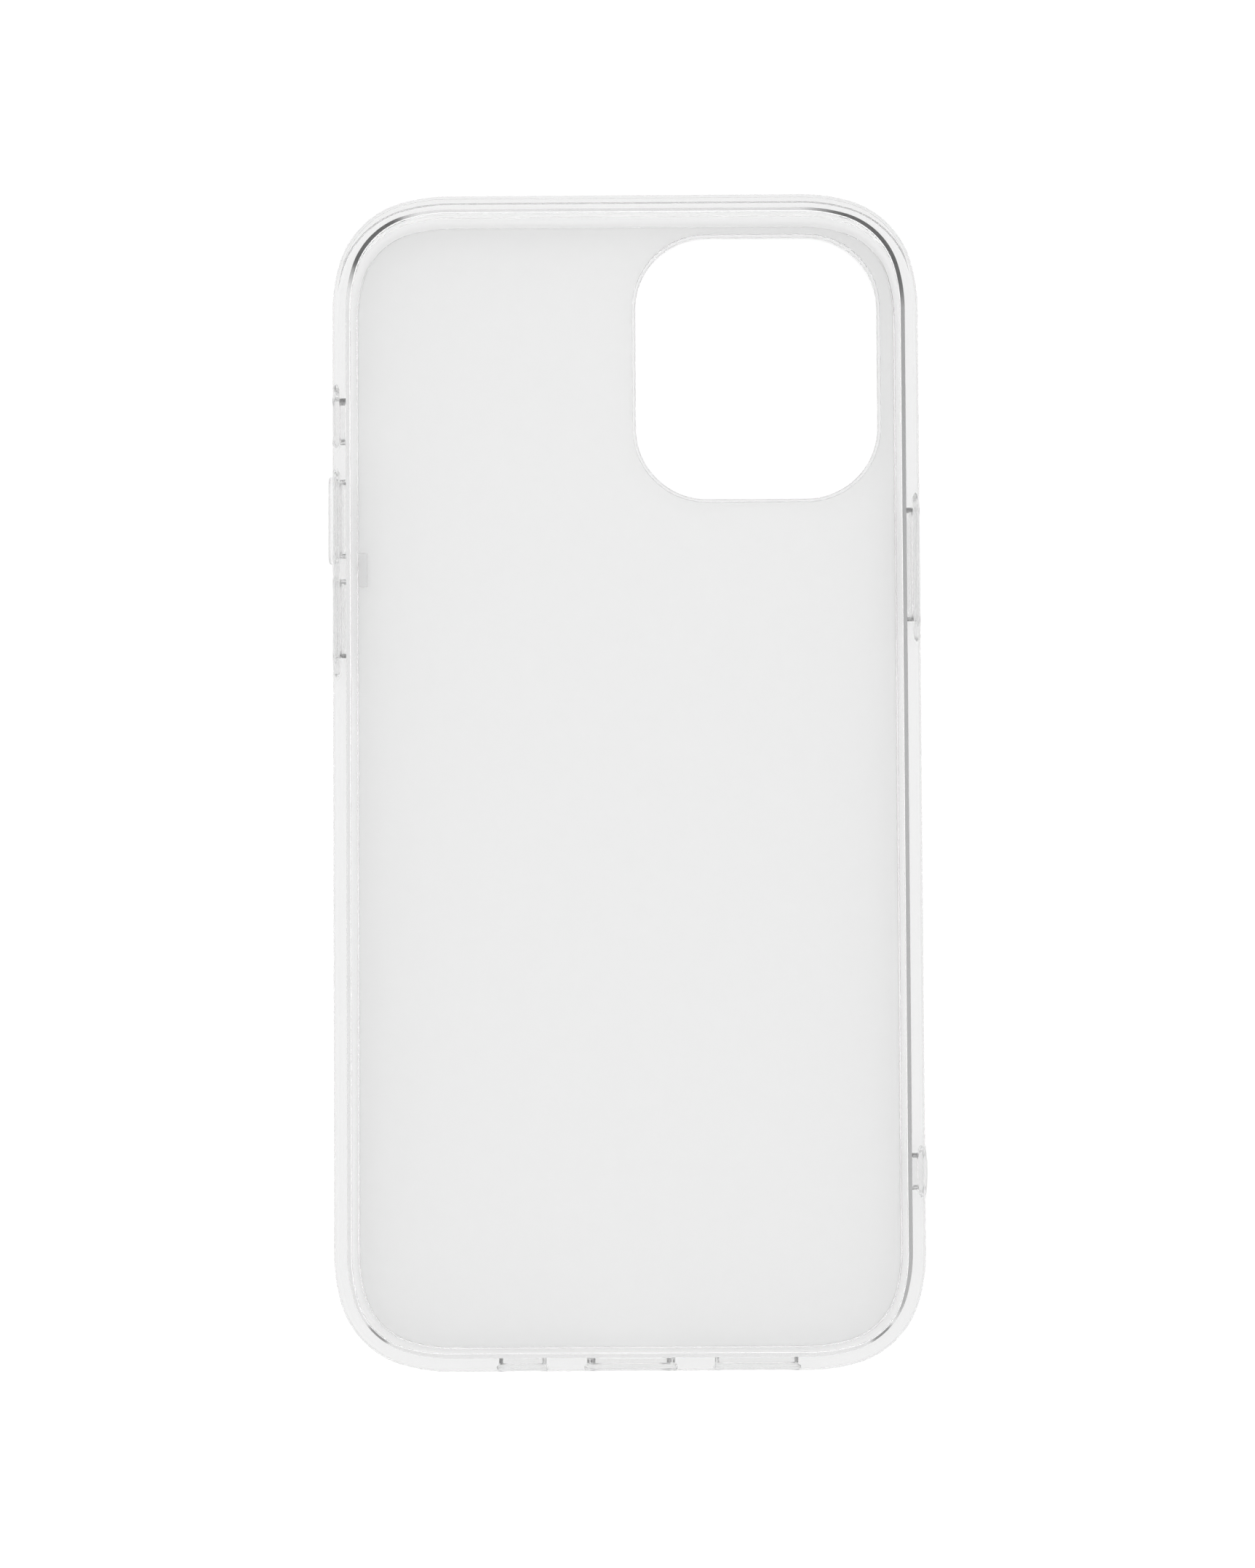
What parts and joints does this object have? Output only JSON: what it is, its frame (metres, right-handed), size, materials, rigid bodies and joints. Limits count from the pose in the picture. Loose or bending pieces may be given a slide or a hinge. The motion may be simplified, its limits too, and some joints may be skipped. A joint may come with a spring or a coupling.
{
  "type": "phone case",
  "caption": "Clear phone case: hard back plate in a soft bumper frame with a raised lip, camera opening, pressable button covers, bottom openings and a strap slot.",
  "frame": {"origin": "middle of the resting face: centred across and along the case, at the lowest face of the back bead", "axes": "+Z from the back towards the phone's screen, +Y towards the top end of the phone, +X towards the side button"},
  "size_m": [0.0762, 0.1502, 0.0103],
  "materials": {
    "frosted_polycarbonate": "moulded polycarbonate, lightly frosted, clear grey",
    "clear_tpu": "soft thermoplastic polyurethane, polished, water clear",
    "clear_tpu_covers": "soft thermoplastic polyurethane, satin, clear"
  },
  "bodies": {
    "case": {"bumper_frame": "clear_tpu", "back_plate": "frosted_polycarbonate", "camera_ring": "clear_tpu"},
    "volume_up": {"volume_up_button": "clear_tpu_covers"},
    "volume_down": {"volume_down_button": "clear_tpu_covers"},
    "side_key": {"side_button": "clear_tpu_covers"}
  },
  "joints": [
    {"name": "volume_up_press", "type": "slide", "parent": "case", "child": "volume_up", "axis": [1, 0, 0], "range_m": [0, 0.00035], "stiffness_N_per_m": 4000},
    {"name": "volume_down_press", "type": "slide", "parent": "case", "child": "volume_down", "axis": [1, 0, 0], "range_m": [0, 0.00035], "stiffness_N_per_m": 4000},
    {"name": "side_key_press", "type": "slide", "parent": "case", "child": "side_key", "axis": [-1, 0, 0], "range_m": [0, 0.00035], "stiffness_N_per_m": 4000}
  ]
}
